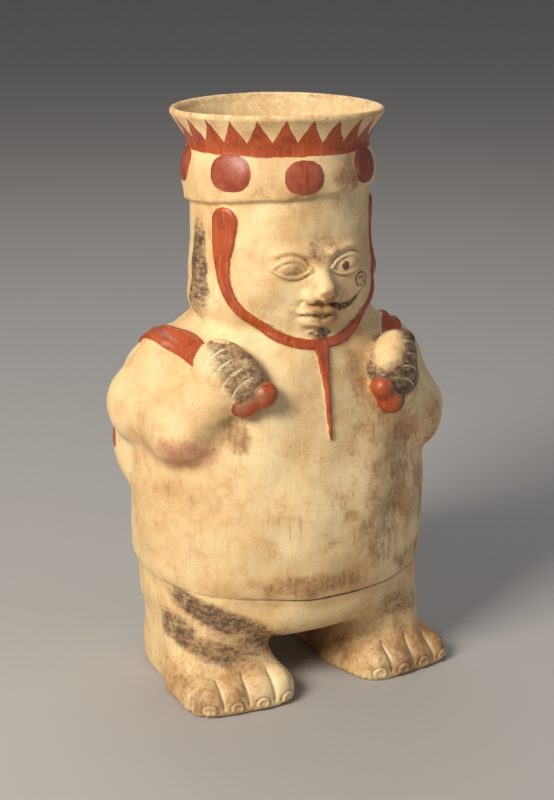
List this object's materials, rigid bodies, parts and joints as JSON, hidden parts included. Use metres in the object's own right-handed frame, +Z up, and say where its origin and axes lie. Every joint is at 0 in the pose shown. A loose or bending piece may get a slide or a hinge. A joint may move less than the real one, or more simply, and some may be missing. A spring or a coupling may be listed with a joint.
{
  "type": "effigy jar",
  "caption": "Hollow painted clay jar shaped as a standing figure with hands at the chest, its headdress opening as the flared mouth.",
  "frame": {"origin": "on the floor under the middle of the outer box, between the feet", "axes": "+Z up, the figure faces -Y, and its own left hand is on +X"},
  "size_m": [0.2436, 0.2058, 0.4054],
  "materials": {
    "slip_clay": "burnished cream slip on fired clay with worn red-orange and dark brown painting"
  },
  "bodies": {
    "root": {"effigy_jar": "slip_clay"}
  },
  "joints": []
}
